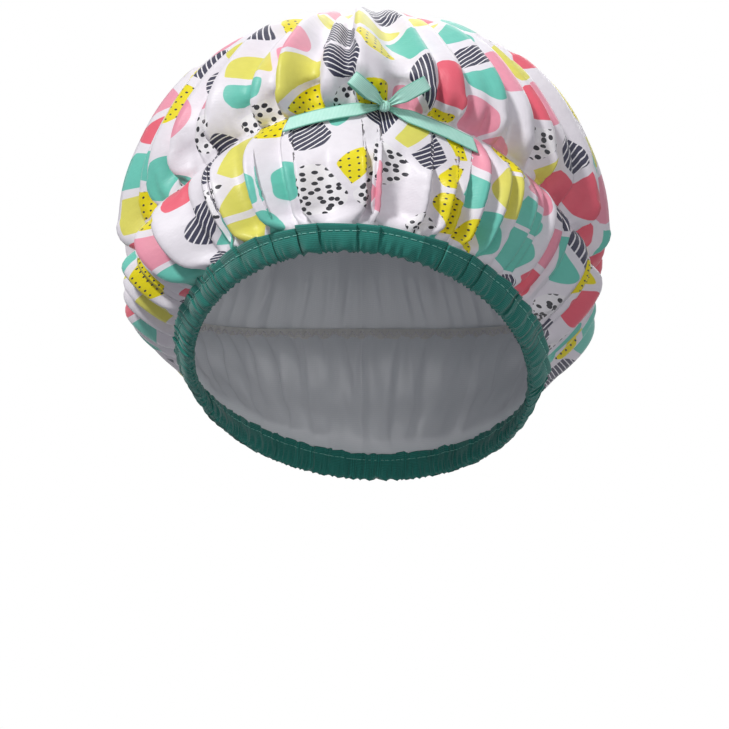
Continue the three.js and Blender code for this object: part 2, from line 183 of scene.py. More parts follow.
def makePrintedSatin(how):
    material, tree = newMaterial("printed polyester satin")
    place = flatMap(tree, "flatCut")
    cells = {}
    for name, scatter in how["scatter"].items():
        cells[name] = {"Vector": place, "Scale": 1 / how[name], "Randomness": scatter}
    chips = addNode(tree, "ShaderNodeTexVoronoi", cells["chip"], voronoi_dimensions="2D")
    edge = addNode(tree, "ShaderNodeTexVoronoi", cells["chip"], voronoi_dimensions="2D",
                   feature="DISTANCE_TO_EDGE")
    kind, gap, lean = addNode(tree, "ShaderNodeSeparateColor", {0: chips.outputs["Color"]}).outputs
    # each cell holds one chip with rounded corners, set in by its own gap
    inset, reach = (addNode(tree, "ShaderNodeMapRange", {"Value": gap, "To Min": low, "To Max": high})
                    for low, high in (how["gap"], how["disc"]))
    sides = addNode(tree, "ShaderNodeMath", {0: edge, 1: inset}, operation="SUBTRACT")
    disc = addNode(tree, "ShaderNodeMath", {0: reach, 1: chips}, operation="SUBTRACT")
    inside = addNode(tree, "ShaderNodeMath", {0: sides, 1: disc, 2: how["corner"]}, operation="SMOOTH_MIN")
    chip = addNode(tree, "ShaderNodeMapRange", {"Value": inside, "From Min": -0.006, "From Max": 0.006})
    ramp = addNode(tree, "ShaderNodeValToRGB", {0: kind})
    ramp.color_ramp.interpolation = "CONSTANT"
    for i, (hexText, start) in enumerate(how["chips"]):
        stop = ramp.color_ramp.elements[i] if i < 2 else ramp.color_ramp.elements.new(start)
        stop.position, stop.color = start, colour(hexText)
    # dots, stripes and spots on some of the chips, the stripes at each chip's own angle
    angle = addNode(tree, "ShaderNodeMath", {0: lean, 1: pi}, operation="MULTIPLY")
    aside = addNode(tree, "ShaderNodeVectorRotate", {"Vector": place, "Angle": angle}, rotation_type="Z_AXIS")
    across = addNode(tree, "ShaderNodeSeparateXYZ", {0: aside})
    lines = addNode(tree, "ShaderNodeMath", {0: across, 1: 1 / how["stripe"]}, operation="MULTIPLY")
    fields = {"stripe": addNode(tree, "ShaderNodeMath", {0: lines}, operation="FRACT")}
    for name in ("dot", "spot"):
        fields[name] = addNode(tree, "ShaderNodeTexVoronoi", cells[name], voronoi_dimensions="2D")
    shown = ramp.outputs[0]
    for name, (big, middle, reach, ink) in how["marks"].items():
        small = addNode(tree, "ShaderNodeMath", {0: fields[name], 1: big}, operation="LESS_THAN")
        chosen = addNode(tree, "ShaderNodeMath", {0: kind, 1: middle, 2: reach}, operation="COMPARE")
        both = addNode(tree, "ShaderNodeMath", {0: small, 1: chosen}, operation="MULTIPLY")
        layers = {0: both, 6: shown, 7: colour(how[ink])}
        shown = addNode(tree, "ShaderNodeMix", layers, data_type="RGBA").outputs[2]
    layers = {0: chip, 6: colour(how["ground"]), 7: shown}
    shown = addNode(tree, "ShaderNodeMix", layers, data_type="RGBA").outputs[2]
    # dye lies a little unevenly on the threads
    dye = addNode(tree, "ShaderNodeTexNoise", {"Vector": place, "Scale": 1 / how["dye"], "Detail": 3.0})
    level = addNode(tree, "ShaderNodeMapRange", {"Value": dye, "To Min": 0.93, "To Max": 1.03})
    tint = addNode(tree, "ShaderNodeVectorMath", {0: shown, "Scale": level}, operation="SCALE")
    threads = {"Vector": place, "Scale": waveUnit / how["thread"], "Distortion": 1.2, "Detail": 1.0}
    weave = addNode(tree, "ShaderNodeTexWave", threads, bands_direction="DIAGONAL").outputs["Fac"]
    creases = {"Vector": place, "Scale": 1 / how["crumple"], "Detail": 4.0, "Roughness": 0.55}
    crumple = addNode(tree, "ShaderNodeTexNoise", creases)
    fine = addNode(tree, "ShaderNodeBump", {"Height": weave, "Strength": 0.12, "Distance": 0.1 * mm})
    broad = addNode(tree, "ShaderNodeBump", {
        "Height": crumple, "Strength": 0.5, "Distance": 0.9 * mm, "Normal": fine})
    low, high = how["roughness"]
    rough = addNode(tree, "ShaderNodeMapRange", {"Value": weave, "To Min": low, "To Max": high})
    return finishMaterial(
        material, {**how["surface"], "Base Color": tint, "Normal": broad, "Roughness": rough})


def makeWoven(name, how):
    # plain cloth: crossing threads, a little uneven, drawn coarser than they are so that they show
    material, tree = newMaterial(name)
    place = flatMap(tree, "strip")
    threads = {"Vector": place, "Scale": waveUnit / how["thread"],
               "Distortion": 0.9, "Detail": 1.0, "Detail Scale": 0.6}
    warp, weft = (addNode(tree, "ShaderNodeTexWave", threads, bands_direction=way).outputs["Fac"]
                  for way in "XY")
    weave = addNode(tree, "ShaderNodeMath", {0: warp, 1: weft}, operation="MULTIPLY")
    cloud = addNode(tree, "ShaderNodeTexNoise", {"Vector": place, "Scale": 1 / how["cloud"], "Detail": 4.0})
    level = addNode(tree, "ShaderNodeMath", {0: weave, 1: cloud}, operation="MULTIPLY")
    shade = addNode(tree, "ShaderNodeMapRange", {"Value": level, "From Min": 0.05, "From Max": 0.42})
    layers = {0: shade, 6: colour(how["dark"]), 7: colour(how["light"])}
    tint = addNode(tree, "ShaderNodeMix", layers, data_type="RGBA").outputs[2]
    fine = addNode(tree, "ShaderNodeBump", {
        "Height": weave, "Strength": how["relief"], "Distance": 0.15 * mm})
    broad = addNode(tree, "ShaderNodeBump", {
        "Height": cloud, "Strength": 0.35, "Distance": 0.6 * mm, "Normal": fine})
    smoothest = how["surface"]["Roughness"]
    rough = addNode(tree, "ShaderNodeMapRange", {
        "Value": weave, "To Min": smoothest + 0.08, "To Max": smoothest})
    return finishMaterial(
        material, {**how["surface"], "Base Color": tint, "Normal": broad, "Roughness": rough})


def makeRibbon(how):
    # satin ribbon: fine cross ribs, and a denser, darker woven edge on both sides
    material, tree = newMaterial("mint polyester satin ribbon")
    place = flatMap(tree, "strip")
    apart = addNode(tree, "ShaderNodeSeparateXYZ", {0: place})
    side = addNode(tree, "ShaderNodeMath", {0: apart.outputs[1]}, operation="ABSOLUTE")
    edge = addNode(tree, "ShaderNodeMapRange", {
        "Value": side, "From Min": how["edgeFrom"], "From Max": how["edgeFrom"] + 0.25})
    threads = {"Vector": place, "Scale": waveUnit / how["rib"], "Distortion": 0.5, "Detail": 1.0}
    ribs = addNode(tree, "ShaderNodeTexWave", threads, bands_direction="X").outputs["Fac"]
    dye = addNode(tree, "ShaderNodeTexNoise", {"Vector": place, "Scale": 1 / how["dye"], "Detail": 3.0})
    level = addNode(tree, "ShaderNodeMath", {0: ribs, 1: dye}, operation="MULTIPLY")
    shade = addNode(tree, "ShaderNodeMapRange", {"Value": level, "From Min": 0.0, "From Max": 0.5})
    layers = {0: shade, 6: colour(how["dark"]), 7: colour(how["light"])}
    middle = addNode(tree, "ShaderNodeMix", layers, data_type="RGBA").outputs[2]
    layers = {0: edge, 6: middle, 7: colour(how["edge"])}
    tint = addNode(tree, "ShaderNodeMix", layers, data_type="RGBA").outputs[2]
    fine = addNode(tree, "ShaderNodeBump", {"Height": ribs, "Strength": 0.3, "Distance": 0.08 * mm})
    raised = addNode(tree, "ShaderNodeBump", {
        "Height": edge, "Strength": 0.4, "Distance": 0.12 * mm, "Normal": fine})
    return finishMaterial(material, {**how["surface"], "Base Color": tint, "Normal": raised})


def makeThread(name, how):
    # twisted polyester sewing thread: slanting plies, with a painted highlight on the crown of each ply
    material, tree = newMaterial(name)
    plies = {"Vector": flatMap(tree, "strip"), "Scale": waveUnit / how["ply"], "Distortion": 0.3}
    twist = addNode(tree, "ShaderNodeTexWave", plies, bands_direction="DIAGONAL").outputs["Fac"]
    # painted highlight: the lighter colour is laid on the crown of each ply
    layers = {0: twist, 6: colour(how["dark"]), 7: colour(how["light"])}
    tint = addNode(tree, "ShaderNodeMix", layers, data_type="RGBA").outputs[2]
    ridge = addNode(tree, "ShaderNodeBump", {"Height": twist, "Strength": 0.5, "Distance": 0.08 * mm})
    return finishMaterial(material, {
        "Roughness": 0.5, "IOR": 1.5, "Sheen Weight": 0.3, "Specular IOR Level": 0.4,
        "Base Color": tint, "Normal": ridge})


# colours, and spacings in millimetres
satinMaterial = makePrintedSatin(printedSatin)
bindingMaterial = makeWoven("plain woven cotton binding", {  # matt, a faint bloom of fibre ends
    "dark": "#22766B", "light": "#37A091", "thread": 0.75, "cloud": 14, "relief": 0.55,
    "surface": {"Roughness": 0.72, "IOR": 1.45, "Sheen Weight": 0.35, "Sheen Roughness": 0.5,
                "Specular IOR Level": 0.3}})
liningMaterial = makeWoven("coated taffeta lining", {  # a thin polymer coat: smooth and slightly glossy
    "dark": "#ECEEF0", "light": "#F6F7F8", "thread": 0.9, "cloud": 18, "relief": 0.1,
    "surface": {"Roughness": 0.34, "IOR": 1.46, "Coat Weight": 0.25, "Coat Roughness": 0.25,
                "Specular IOR Level": 0.5}})
elasticMaterial = makeWoven("knitted rubber elastic", {  # ribs of covered rubber held by a white knit
    "dark": "#E2E0DA", "light": "#F6F4F0", "thread": 0.7, "cloud": 9, "relief": 0.8,
    "surface": {"Roughness": 0.75, "IOR": 1.5, "Sheen Weight": 0.25, "Sheen Roughness": 0.5,
                "Specular IOR Level": 0.3}})
tealThreadMaterial = makeThread("light teal polyester thread", {
    "dark": "#5DB5A6", "light": "#A4E2D6", "ply": 0.45})
whiteThreadMaterial = makeThread("white polyester thread", {
    "dark": "#D9D5DB", "light": "#F7F4F8", "ply": 0.45})
ribbonMaterial = makeRibbon({  # smooth and softly shining
    "dark": "#A2E0CD", "light": "#C6F5E7", "edge": "#79C2AC", "edgeFrom": 2.45, "rib": 0.55,
    "dye": 10 / 3,  # three patches of dye in 10 mm
    "surface": {"Roughness": 0.45, "IOR": 1.5, "Sheen Weight": 0.2, "Sheen Roughness": 0.35,
                "Specular IOR Level": 0.4}})
stage("materials made")


# rings of the cap, read from the CAD solids: turn 0 is the front, and it grows towards +X
def nodePoints(name):
    return np.unique(meshPoints(frame["nodes"][name].data).round(7), axis=0)


def ringTerms(turn, order):
    angle = np.multiply.outer(turn, np.arange(1, order + 1))
    return np.concatenate([np.ones(np.shape(turn) + (1,)), np.cos(angle), np.sin(angle)], -1)


def planTurn(points, around):
    low, high = around.min(0), around.max(0)
    middle, half = (low + high) / 2, (high - low) / 2
    return np.arctan2((points[:, 0] - middle[0]) / half[0], (middle[1] - points[:, 1]) / half[1])


def fitRing(points, order=4):
    return np.linalg.lstsq(ringTerms(planTurn(points, points), order), points, rcond=None)[0]


def ringAt(ring, turn):
    return ringTerms(turn, len(ring) // 2) @ ring


def ringAlong(ring, turn):
    return unit(ringAt(ring, turn + 1e-4) - ringAt(ring, turn - 1e-4))


def ringOut(ring, turn):
    return unit(np.cross(ringAlong(ring, turn), np.array([0, 0, 1.0])))


hemTop, hemBobbin, hemTape, gatherTop, gatherBobbin, gatherTape = (fitRing(nodePoints(name)) for name in (
    "hem_top_thread", "hem_bobbin_thread", "hem_elastic",
    "gather_top_thread", "gather_bobbin_thread", "gather_elastic"))


def hemFrame(turn):
    inner, outer = ringAt(hemBobbin, turn), ringAt(hemTop, turn)
    along = ringAlong((hemTop + hemBobbin) / 2, turn)
    outward = outer - inner
    outward = unit(outward - along * dot(outward, along))
    return (inner + outer) / 2, along, outward, np.cross(outward, along)


def hemPoint(turn, out, up, aside=0.0):
    # a point of the hem band: out from the middle of its thickness, up from the stitch line, aside along it
    middle, along, outward, upward = hemFrame(turn)
    out, up, aside = (np.broadcast_to(v, np.shape(turn))[..., None] for v in (out, up, aside))
    return middle + outward * out + upward * up + along * aside


bindingPoints = nodePoints("hem_binding")
bindingMiddle, _, _, bindingUp = hemFrame(planTurn(bindingPoints, nodePoints("hem_top_thread")))
bandHigh = np.percentile(dot(bindingPoints - bindingMiddle, bindingUp), 99)
stage(f"hem band up to {bandHigh / mm:.1f} mm above its stitch line")

capPoints = nodePoints("outer_cap")
crownTop = capPoints[capPoints[:, 2].argmax()]
capTurn = planTurn(capPoints, nodePoints("gather_top_thread"))
aboveGather = capPoints[:, 2] > ringAt(gatherTop, capTurn)[:, 2] + 5 * mm
sectors = 56
sector = np.round(capTurn / tau * sectors).astype(int) % sectors
widest = []
for s in range(sectors):
    members = capPoints[aboveGather & (sector == s)]
    widest.append(members[size(members[:, :2] - crownTop[:2]).argmax()])
crownWide = fitRing(np.array(widest), 2)


def crownBase(turn, share, steps=61):
    # smooth crown: share 0 is the top and 1 the gather, by length along the cloth
    low, wide = ringAt(gatherTop, turn), ringAt(crownWide, turn)
    reachLow = size(low[:, :2] - crownTop[:2])
    reachWide = np.maximum(size(wide[:, :2] - crownTop[:2]), reachLow + mm)
    endAngle = -np.arccos(reachLow / reachWide)[:, None]
    angle = pi / 2 + (endAngle - pi / 2) * np.linspace(0, 1, steps)
    out = np.cos(angle)
    lean = np.clip((out - out[:, -1:]) / (1 - out[:, -1:]), 0, 1)[..., None]
    plan = np.where(
        angle[..., None] > 0,
        crownTop[:2] + (wide[:, None, :2] - crownTop[:2]) * out[..., None],
        low[:, None, :2] * (1 - lean) + wide[:, None, :2] * lean)
    drop = np.where(angle > 0, crownTop[2] - wide[:, 2:], (wide[:, 2:] - low[:, 2:]) / -np.sin(endAngle))
    line = np.concatenate([plan, (wide[:, 2:] + drop * np.sin(angle))[..., None]], -1)
    length = np.pad(np.cumsum(size(np.diff(line, axis=1)), 1), ((0, 0), (1, 0)))
    found = np.empty(turn.shape + (3,))
    for i in range(len(turn)):
        for a in range(3):
            found[i, a] = np.interp(share[i] * length[i, -1], length[i], line[i, :, a])
    return found


def crownOut(turn, share, step=0.004):
    along = unit(crownBase(turn + step, share) - crownBase(turn - step, share))
    down = crownBase(turn, np.minimum(share + step, 1)) - crownBase(turn, np.maximum(share - step, 0))
    return unit(np.cross(along, -down)), along


puffBulge = {"front": 11 * mm, "side": 12 * mm}


def puffBase(turn, share):
    # smooth lower puff: share 0 is the gather and 1 the upper edge of the hem band
    high, low = ringAt(gatherTop, turn), hemPoint(turn, 0, bandHigh)
    bulge = puffBulge["front"] + (puffBulge["side"] - puffBulge["front"]) * np.sin(turn) ** 4
    arch = bulge * np.sin(pi * np.clip(share, 0, 1))
    return high + (low - high) * share[:, None] + ringOut(gatherTop, turn) * arch[:, None]


# uneven folds round a ring: an edge is a valley, and a fold can lean over to either side
lobeCount = 14  # lobes of the solid's crown
faceCurve = 1.3  # a fold's face rises a little hollow, as pulled cloth does


def spacedEdges(width, spread, seed, ring=gatherTop, front=0.0, frontReach=0.0):
    # fold edges from the back round to the back again, each fold about width wide, and about front in front
    draw = np.random.RandomState(seed)
    edges = [-pi]
    while edges[-1] < pi:
        turn = np.array([edges[-1]])
        speed = size(ringAt(ring, turn + 1e-3) - ringAt(ring, turn - 1e-3))[0] / 2e-3
        wide = front if abs(edges[-1]) < frontReach else width
        edges.append(edges[-1] + wide * math.exp(draw.normal(0, spread)) / speed)
    edges = np.array(edges)
    return -pi + (edges + pi) * tau / (edges[-1] + pi)


def lobeEdges(parts, seed):
    # a valley near each valley of the solid's lobes, and each lobe parted further
    places = np.arange(lobeCount * parts + 1) / parts
    places[1:-1] += np.random.RandomState(seed).uniform(-0.11, 0.11, len(places) - 2)
    return places / lobeCount * tau - pi


def makeFolds(edges, seed, lean=0.0, crest=0.5):
    # lean is how far a fold may tip aside, crest where its ridge lies: 0.5 is even, near 1 a knife pleat
    draw = np.random.RandomState(seed)
    turn, widths = edges[:-1], np.diff(edges)
    count = len(widths)
    heights = draw.uniform(0.75, 1.1, count) * (widths / widths.mean()) ** 0.5
    leans = lean * draw.uniform(0.5, 1, count)
    rightwards = draw.rand(count) < 0.5 + np.clip(turn, -0.4, 0.4)  # most folds lean away from the front
    leans = leans * np.where(rightwards, 1, -1) * np.clip(np.abs(turn) / 0.9, 0.7, 1)
    reach = draw.uniform(0.02, 0.3, count)
    depths = np.where(np.arange(count) % 3, draw.uniform(0.7, 1.3, count), 1.0)
    return dict(edges=edges, crest=crest, heights=heights, leans=leans, reach=reach, depths=depths)


def foldPlace(turn, edges):
    # which fold a turn is in, and how far across it
    turn = (turn - edges[0]) % tau + edges[0]
    which = np.clip(np.searchsorted(edges, turn, side="right") - 1, 0, len(edges) - 2)
    return which, (turn - edges[which]) / (edges[which + 1] - edges[which])


def foldWave(turn, folds, sink=0.0):
    # height of the fold between two sharp valleys, less sink, and how far it leans aside
    which, across = foldPlace(turn, folds["edges"])
    lean, crest = folds["leans"][which], folds["crest"]
    s = np.where(lean >= 0, across, 1 - across)
    rise, fall = s / crest, (s - crest) / (1 - crest)
    height = folds["heights"][which] * np.where(s < crest, np.maximum(rise, 0) ** faceCurve, 1 - fall ** 2)
    return np.stack([height - sink, height * lean], -1)


def valleyValue(turn, folds, key):
    # a value that belongs to the valleys, blended across the fold between two of them
    which, across = foldPlace(turn, folds["edges"])
    blend = smooth(across, 0.25, 0.75)
    return folds[key][which] * (1 - blend) + folds[key][(which + 1) % len(folds[key])] * blend


# the hem band is drawn up in flat knife pleats in front and in dense ridges at the sides and the back
hemReach = 85 * mm  # mean radius of the hem
panelEdges = spacedEdges(4.2 * mm, 0.4, 21, hemTop, 9.5 * mm, 0.8)
draw = np.random.RandomState(51)
panelCount = len(panelEdges) - 1
panelWide = np.diff(panelEdges) * hemReach
panelLift = draw.uniform(1.6 * mm, 2.7 * mm, panelCount) * np.clip(panelWide / (8 * mm), 0.55, 1.1)
panelLean = np.where(draw.rand(panelCount) < 0.5, -1, 1)
panelStep = draw.uniform(-1, 1, panelCount) * 0.6 * mm
panelTilt = draw.uniform(-1, 1, panelCount) * 1.0 * mm


def panelWave(turn):
    # a panel rises to its folded edge, which hangs over the start of the next one
    which, across = foldPlace(turn, panelEdges)
    lean = panelLean[which]
    s = np.where(lean > 0, across, 1 - across)
    falls = smooth(s, 0.9, 1.0)
    lift = panelLift[which] * (s ** 0.8 * (1 - falls) - 0.2 * falls)
    return which, across, lift, lean * smooth(s, 0.5, 0.9) * (1 - falls)


# outer cloth: a round, gathered in the hem and along the upper ring
satin = {
    "columns": 640, "spacing": 2.7 * mm, "finer": 0, "map": "flatCut",
    "crownSlack": 1.0, "puffSlack": 1.05, "hemFullness": 1.65,  # lengths of the cut over the smooth shape's
    "flatOffset": 42 * mm,  # how far the middle of the cut lies behind the top
    "side": 1, "sink": 0.68,  # way the folds stand, and share of them that lies in
    "inset": 0, "depth": 0.6 * mm, "hemOut": 0.4 * mm,
    "roll": 3 * mm, "shoulder": 3.5 * mm, "slump": 4 * mm,
    "lobeDepth": 15 * mm, "sideDeeper": 0.35, "foldDepth": 4 * mm, "gatherDepth": 5.6 * mm,
    "pleatDepth": 12.5 * mm, "bandPleat": 0.85,
    "lobes": makeFolds(lobeEdges(3, 3), 4, 0.5, 0.86),
    "folds": makeFolds(spacedEdges(9.5 * mm, 0.35, 5), 6, 0.5, 0.75),
    "gathers": makeFolds(spacedEdges(7.4 * mm, 0.3, 7), 8, 0.3),
    "pleats": makeFolds(spacedEdges(6.5 * mm, 0.4, 19, hemTop, 7.5 * mm, 0.7), 12, 0.85, 0.86),
    "frames": 10, "hold": 0.97, "mass": 0.0004, "pressure": 1, "stiff": 5, "bend": 0.04, "gravity": 0.02,
    "floor": (-12 * mm, -9 * mm), "ceiling": (60 * mm, 60 * mm), "give": 0.3,  # how far folds may stray
}
crownSpans = {  # shares of the crown, from the top, where each form grows and fades
    "lobes": (0.0, 0.35, 0.93, 1), "folds": (0.12, 0.52, 0.9, 1),  # from each valley's reach on
    "roll": (0.65, 0.9, 0.93, 1), "shoulder": (0.1, 0.4, 0.5, 0.85), "slump": (0.25, 0.6, 0.93, 1),
}
puffSpans = {"pleats": (0, 0.22, 0.88, 1), "roll": (0, 0.14, 0.2, 0.7)}  # shares of the puff, from the gather


def reachedSwell(turn, share, folds, span):
    reach = valleyValue(turn, folds, "reach")
    return swell(share, reach + span[0], reach + span[1], *span[2:])


def crownStart(how, turn, share):
    outward, along = crownOut(turn, share)
    lobe = how["lobeDepth"] * (1 + how["sideDeeper"] * np.sin(turn) ** 2)
    lobe = lobe * valleyValue(turn, how["lobes"], "depths")
    lobe = lobe * reachedSwell(turn, share, how["lobes"], crownSpans["lobes"])
    small = how["foldDepth"] * reachedSwell(turn, share, how["folds"], crownSpans["folds"])
    gather = how["gatherDepth"] * smooth(share, 0.66, 0.92) * (1 - 0.75 * smooth(share, 0.94, 1))
    fold = lobe[:, None] * foldWave(turn, how["lobes"], how["sink"])
    fold += small[:, None] * foldWave(turn, how["folds"], how["sink"] / 2)
    fold += gather[:, None] * foldWave(turn, how["gathers"])
    left = smooth(-np.sin(turn), 0.3, 1)  # the crown hangs slacker on the left
    for form, part in (("roll", 1), ("shoulder", 1), ("slump", -left)):
        fold[:, 0] += how[form] * part * swell(share, *crownSpans[form])
    fold[:, 0] = fold[:, 0] * how["side"] - how["inset"] * smooth(1 - share, 0, 0.12) - how["depth"]
    return crownBase(turn, share) + outward * fold[:, :1] + along * fold[:, 1:]


def puffStart(how, turn, share):
    outward, along = ringOut(gatherTop, turn), ringAlong(gatherTop, turn)
    gather = how["gatherDepth"] * (0.25 + 0.75 * smooth(share, 0, 0.1)) * (1 - smooth(share, 0.12, 0.45))
    pleat = how["pleatDepth"] * valleyValue(turn, how["pleats"], "depths")
    pleat = pleat * swell(share, *puffSpans["pleats"])
    fold = gather[:, None] * foldWave(turn, how["gathers"])
    fold += pleat[:, None] * foldWave(turn, how["pleats"], how["sink"])
    fold[:, 0] += how["bandPleat"] * panelWave(turn)[2] * smooth(share, 0.5, 1)
    fold[:, 0] += how["roll"] * swell(share, *puffSpans["roll"])
    fold[:, 0] = fold[:, 0] * how["side"] - how["inset"] * np.sin(pi * share) ** 0.5
    fold[:, 0] += how["hemOut"] * share - how["depth"] * (1 - share)
    return puffBase(turn, share) + outward * fold[:, :1] + along * fold[:, 1:]


def lineLengths(surface, turn):
    line = np.stack([surface(turn, np.full_like(turn, s)) for s in np.linspace(0, 1, 41)])
    return size(np.diff(line, axis=0)).sum(0)


def flatTurns(turns, place):
    # turns in the flat cut: a column takes most of the width that its cloth takes up along a row of folds
    steps = size(np.roll(place, -1, 0) - place)
    drift = np.r_[0, np.cumsum(steps)[:-1]] / steps.sum() * tau - pi - turns
    span = len(turns) // lobeCount
    around = np.concatenate([drift[-span:], drift, drift[:span]])
    local = drift - np.convolve(around, np.ones(2 * span + 1) / (2 * span + 1), "valid")
    return turns + 0.85 * local


def rowFaces(counts):
    # faces between rows of points below the top one; a row has as many points as the last, or twice as many
    starts = np.r_[0, np.cumsum(counts)]
    rings = [start + np.arange(count) for start, count in zip(starts, counts)]
    faces = [[0, a, b] for a, b in zip(rings[1], np.roll(rings[1], -1))]
    for upper, lower in zip(rings[1:], rings[2:]):
        n = len(upper)
        for i in range(n):
            a, b = upper[i], upper[(i + 1) % n]
            if len(lower) == n:
                faces.append([a, lower[i], lower[(i + 1) % n], b])
            else:
                c, d, e = lower[2 * i], lower[2 * i + 1], lower[(2 * i + 2) % (2 * n)]
                faces += [[a, c, d], [a, d, b], [b, d, e]]
    return faces


printReach, printFrom = 150 * mm, 0.4  # the puff's strip of print: its radius, and where it starts


def clothGrid(how):
    # rows of points from the top down: where they start, where they lie in the flat cut, and which are sewn
    columns, spacing = how["columns"], how["spacing"]
    turns = roundTurns(columns)
    crownRun = lineLengths(crownBase, turns) * how["crownSlack"]
    puffRun = lineLengths(puffBase, turns) * how["puffSlack"]
    meanRun = crownRun.mean()
    crownTurns = flatTurns(turns, crownStart(how, turns, np.full(columns, 0.7)))
    puffTurns = flatTurns(turns, puffStart(how, turns, np.full(columns, 0.5)))
    hemLine = hemPoint(turns, 0, bandHigh)
    hemRadius = size(hemLine - np.roll(hemLine, 1, 0)).sum() * how["hemFullness"] / tau
    crownRows, puffRows = round(meanRun / spacing), round(puffRun.mean() / spacing)

    def flatRim(blend, every=1):
        flat = (crownTurns * (1 - blend) + puffTurns * blend)[::every]
        ray = np.stack([np.sin(flat), -np.cos(flat), 0 * flat], -1) * meanRun + [0, how["flatOffset"], 0]
        return flat, unit(ray) * crownRun[::every, None]

    rows = []

    def addRow(start, cut, base, out, room, printed, zone, sewn):
        rows.append({"start": start, "cut": cut, "base": base, "out": out, "room": room, "print": printed,
                     "zone": np.full(len(start), zone), "sewn": np.full(len(start), float(sewn))})

    addRow(crownTop[None] - [[0, 0, how["inset"]]], np.zeros((1, 3)), crownTop[None], np.array([[0, 0, 1.0]]),
           np.ones(1), np.zeros((1, 2)), 0, False)
    for i in range(1, crownRows + 1):
        share, count = i / crownRows, columns
        while count > 28 and share * meanRun * tau / count < 0.55 * spacing:
            count //= 2  # fewer points round the rows near the top
        turn, shares = turns[::columns // count], np.full(count, share)
        cut = flatRim(0, columns // count)[1] * share
        addRow(crownStart(how, turn, shares), cut, crownBase(turn, shares), crownOut(turn, shares)[0],
               smooth(1 - shares, 0, 0.12), cut[:, :2], 0, share == 1)
    lowerRows = [("puff", i / puffRows) for i in range(1, puffRows + 1)] + [("tuck", 0.5), ("tuck", 1.0)]
    for zone, share in lowerRows:
        shares = np.full(columns, share)
        if zone == "puff":
            flat, rim = flatRim(smooth(share, 0, 0.4))
            start, base = puffStart(how, turns, shares), puffBase(turns, shares)
            narrow = 1 + (hemRadius / meanRun - 1) * share ** 2  # the cut narrows towards the hem
            down, room = puffRun * share, np.sin(pi * shares) ** 0.5
            inward = np.minimum(crownRun * (1 - narrow), down * 0.97)
            fall = np.sqrt(down ** 2 - inward ** 2)
        else:
            flat, rim = flatRim(1)
            depth = share * (bandHigh + 1 * mm)
            lift = how["bandPleat"] * panelWave(turns)[2] * (1 - share / 2) * how["side"]
            start = base = hemPoint(turns, how["hemOut"] + lift, bandHigh - depth)
            fall, down, room = fall + depth / 2, puffRun + depth, shares * 0
        cut = rim * (1 - inward / crownRun)[:, None] - np.outer(fall, [0, 0, 1])
        printed = np.stack([flat * printReach, printFrom + down], -1)
        addRow(start, cut, base, ringOut(gatherTop, turns), room, printed, 1, zone == "tuck" or share == 1)
    grid = {key: np.concatenate([row[key] for row in rows]) for key in rows[0]}
    grid["faces"] = rowFaces([len(row["sewn"]) for row in rows])
    return grid


def printUv(grid, columns):
    # the crown prints as the flat cut lies, and the lower puff as a strip that meets at the back
    perLoop = []
    for face in grid["faces"]:
        places, zones = grid["print"][face], grid["zone"][face]
        if zones.any():
            for k in np.flatnonzero(zones == 0):  # the gather row seen from the puff
                places[k] = grid["print"][face[k] + columns][0], printFrom
            if np.ptp(places[:, 0]) > printReach * pi / 2:
                places[places[:, 0] < 0, 0] += printReach * tau
        perLoop.append(places)
    return np.concatenate(perLoop)


def drape(piece, grid, how):
    piece.shape_key_add(name="Basis")
    cut = piece.shape_key_add(name="cut")
    cut.data.foreach_set("co", grid["cut"].ravel())
    sewn = piece.vertex_groups.new(name="sewn")
    for value, weight in ((0, how["hold"]), (1, 1)):  # what isn't sewn is kept near its start
        sewn.add(np.flatnonzero(grid["sewn"] == value).tolist(), weight, "REPLACE")
    # splits nothing, but Cloth reads its rest shape only below another modifier
    whole = piece.modifiers.new("whole", "EDGE_SPLIT")
    whole.use_edge_angle = whole.use_edge_sharp = False
    cloth = piece.modifiers.new("drape", "CLOTH")
    settings = {"rest_shape_key": cut, "vertex_group_mass": "sewn", "quality": 5, "mass": how["mass"],
                "bending_stiffness": how["bend"], "air_damping": 2, "use_pressure": True,
                "uniform_pressure_force": how["pressure"]}
    settings |= {f"{way}_stiffness": how["stiff"] for way in ("tension", "compression", "shear")}
    for name, value in settings.items():
        setattr(cloth.settings, name, value)
    cloth.settings.effector_weights.gravity = how["gravity"]
    cloth.collision_settings.use_collision = False
    cloth.point_cache.frame_end = how["frames"] + 1
    for f in range(1, how["frames"] + 1):
        scene.frame_set(f)
    points = meshPoints(piece.evaluated_get(bpy.context.evaluated_depsgraph_get()).data)
    piece.modifiers.clear()
    piece.shape_key_clear()
    piece.vertex_groups.clear()
    scene.frame_set(1)
    return points


floorGive = 0.12  # how much of its way past the floor a fold keeps


def keepNear(points, grid, how):
    # a fold that strayed too far in or out is eased back, so that cap and lining stay apart
    stray = dot(points - grid["base"], grid["out"])[:, 0]
    crown = grid["zone"] == 0
    low = np.where(crown, *how["floor"]) * grid["room"]
    high = np.where(crown, *how["ceiling"])
    high = np.where(high < 0, high * grid["room"], high)
    eased = np.where(stray > high, high + (stray - high) * how["give"], stray)
    eased = np.where(stray < low, low + (stray - low) * floorGive, eased)
    return np.where(grid["sewn"][:, None] > 0, points, points + grid["out"] * (eased - stray)[:, None])


def relax(points, grid, rounds, amount):
    pairs = np.array([(f[i], f[i - 1]) for f in grid["faces"] for i in range(len(f))])
    pairs = np.concatenate([pairs, pairs[:, ::-1]])
    count = np.bincount(pairs[:, 0], minlength=len(points))[:, None]
    free = grid["sewn"][:, None] == 0
    for _ in range(rounds):
        total = [np.bincount(pairs[:, 0], points[pairs[:, 1], a], len(points)) for a in range(3)]
        points = np.where(free, points + (np.stack(total, -1) / count - points) * amount, points)
    return points


